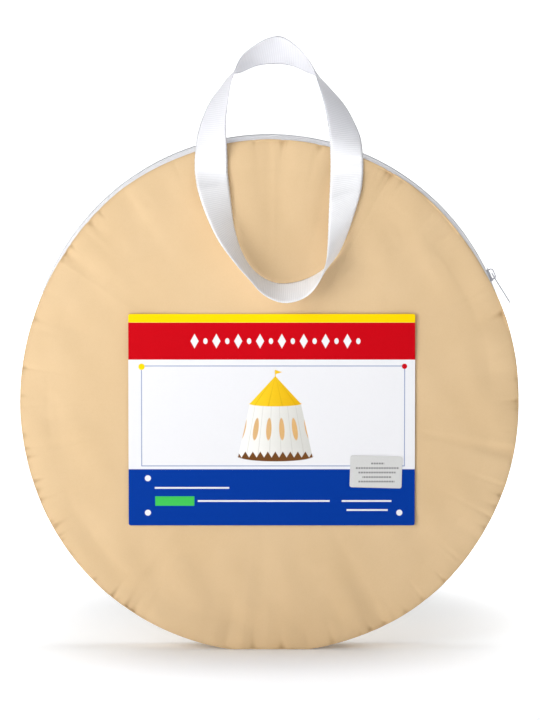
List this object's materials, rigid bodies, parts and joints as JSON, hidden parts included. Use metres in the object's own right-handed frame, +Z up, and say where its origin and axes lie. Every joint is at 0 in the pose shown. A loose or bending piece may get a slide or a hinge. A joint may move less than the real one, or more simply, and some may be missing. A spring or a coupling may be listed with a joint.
{
  "type": "packed pop-up play tent in carry bag",
  "caption": "Folded pop-up play tent in a flat round zip bag, with webbing handle loops, a printed card on the front and coiled spring hoops and cloth inside.",
  "frame": {"origin": "centre of the flat strip of the lower gusset that the bag stands on", "axes": "+Z up towards the handle loops, +Y from the card on the front panel to the rear panel, +X to the right as seen from the front"},
  "size_m": [0.4116, 0.0782, 0.5087],
  "materials": {
    "case_cloth": "plain woven polyester with a slight sheen",
    "zip_tape": "matt woven tape",
    "zip_chain": "satin",
    "zip_metal": "white lacquer",
    "webbing": "ribbed matt webbing",
    "card": "printed, satin",
    "sticker": "uncoated paper",
    "hoop_steel": "oiled spring steel",
    "wall_cloth": "thin woven polyester",
    "roof_cloth": "thin woven polyester",
    "floor_cloth": "coated woven polyester"
  },
  "bodies": {
    "case": {"front_panel": "case_cloth", "rear_panel": "case_cloth", "lower_gusset": "case_cloth", "front_zip_tape": "zip_tape", "rear_zip_tape_right_end": "zip_tape", "rear_zip_tape_left_end": "zip_tape", "front_zip_chain": "zip_chain", "rear_zip_chain_right_end": "zip_chain", "rear_zip_chain_left_end": "zip_chain", "front_zip_stop": "zip_metal", "rear_zip_stop": "zip_metal", "zip_bottom_stop": "zip_metal", "handle_tack_left": "webbing", "handle_tack_right": "webbing", "label_card": "card", "label_sticker": "sticker", "wall_hoop_1": "hoop_steel", "wall_hoop_2": "hoop_steel", "wall_hoop_3": "hoop_steel", "wall_hoop_4": "hoop_steel", "hoop_ferrule_1": "hoop_steel", "hoop_ferrule_2": "hoop_steel", "hoop_ferrule_3": "hoop_steel", "hoop_ferrule_4": "hoop_steel", "wall_cloth_pack": "wall_cloth", "roof_cloth_pack": "roof_cloth", "floor_cloth_pack": "floor_cloth"},
    "flap": {"rear_flap": "case_cloth", "rear_zip_tape": "zip_tape", "rear_zip_chain": "zip_chain"},
    "slider": {"slider_body": "zip_metal"},
    "puller": {"zip_puller": "zip_metal"},
    "upper_handle": {"upper_handle_loop": "webbing"},
    "lower_handle": {"lower_handle_loop": "webbing"}
  },
  "joints": [
    {"name": "slider_travel", "type": "hinge", "parent": "case", "child": "slider", "pos_m": [0, 0, 0.2263], "axis": [0, -1, 0], "range_deg": [-7, 132]},
    {"name": "puller_swing", "type": "hinge", "parent": "slider", "child": "puller", "pos_m": [0.1848, 0, 0.31091], "axis": [0, -1, 0], "range_deg": [-8, 150]},
    {"name": "flap_fold", "type": "hinge", "parent": "case", "child": "flap", "pos_m": [0, 0.024, 0.32201], "axis": [-1, 0, 0], "range_deg": [0, 100]},
    {"name": "upper_loop_swing", "type": "hinge", "parent": "case", "child": "upper_handle", "pos_m": [0.0081, -0.02447, 0.406], "axis": [1, 0, 0], "range_deg": [0, 60]},
    {"name": "lower_loop_swing", "type": "hinge", "parent": "case", "child": "lower_handle", "pos_m": [0.0081, -0.02492, 0.3962], "axis": [-1, 0, 0], "range_deg": [0, 75]}
  ]
}
